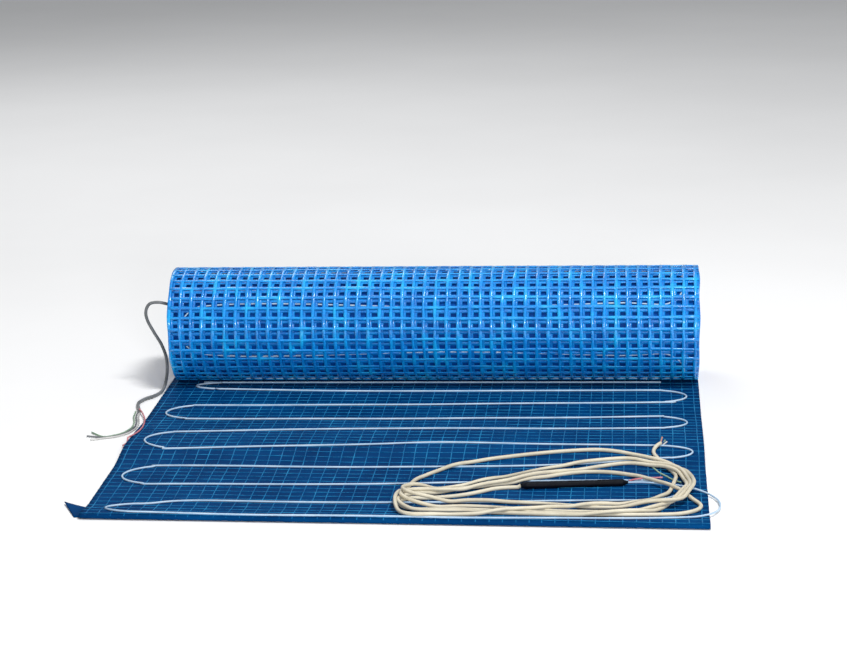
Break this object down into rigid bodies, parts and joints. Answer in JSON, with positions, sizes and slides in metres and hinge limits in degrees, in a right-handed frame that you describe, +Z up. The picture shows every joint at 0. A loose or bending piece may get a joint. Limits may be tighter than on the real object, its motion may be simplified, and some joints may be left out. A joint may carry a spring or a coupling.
{
  "type": "underfloor heating mat",
  "caption": "Partly unrolled mesh heating mat with a thin heating cable laid in runs, a coiled cold lead with its joint sleeve, and a second lead.",
  "frame": {"origin": "middle of the laid part's underside, on the floor, midway between the roll's contact line and the front edge", "axes": "+X along the roll to the right of the picture, +Y from the laid part towards the roll, +Z up"},
  "size_m": [0.553, 0.4905, 0.108],
  "materials": {
    "mat_mesh": "blue glass-fibre scrim on a thin blue film",
    "heating_cable": "smooth pale sheath",
    "shrink_sleeve": "black heat-shrink",
    "cold_lead": "satin cream sheath",
    "second_lead": "satin grey sheath",
    "wire_white": "satin insulation",
    "wire_brown": "satin insulation",
    "wire_red": "satin insulation",
    "wire_green": "satin insulation"
  },
  "bodies": {
    "root": {"mesh_mat": "mat_mesh", "heating_cable": "heating_cable", "joint_sleeve": "shrink_sleeve", "cold_lead_coil": "cold_lead", "cold_lead_to_sleeve": "cold_lead", "cold_lead_to_end": "cold_lead", "cold_lead_wire_white": "wire_white", "cold_lead_wire_brown": "wire_brown", "cold_lead_wire_green": "wire_green", "joint_wire_red": "wire_red", "joint_wire_green": "wire_green", "second_lead": "second_lead", "second_lead_wire_red": "wire_red", "second_lead_wire_white": "wire_white", "second_lead_wire_grey": "second_lead", "second_lead_wire_green": "wire_green"}
  },
  "joints": []
}
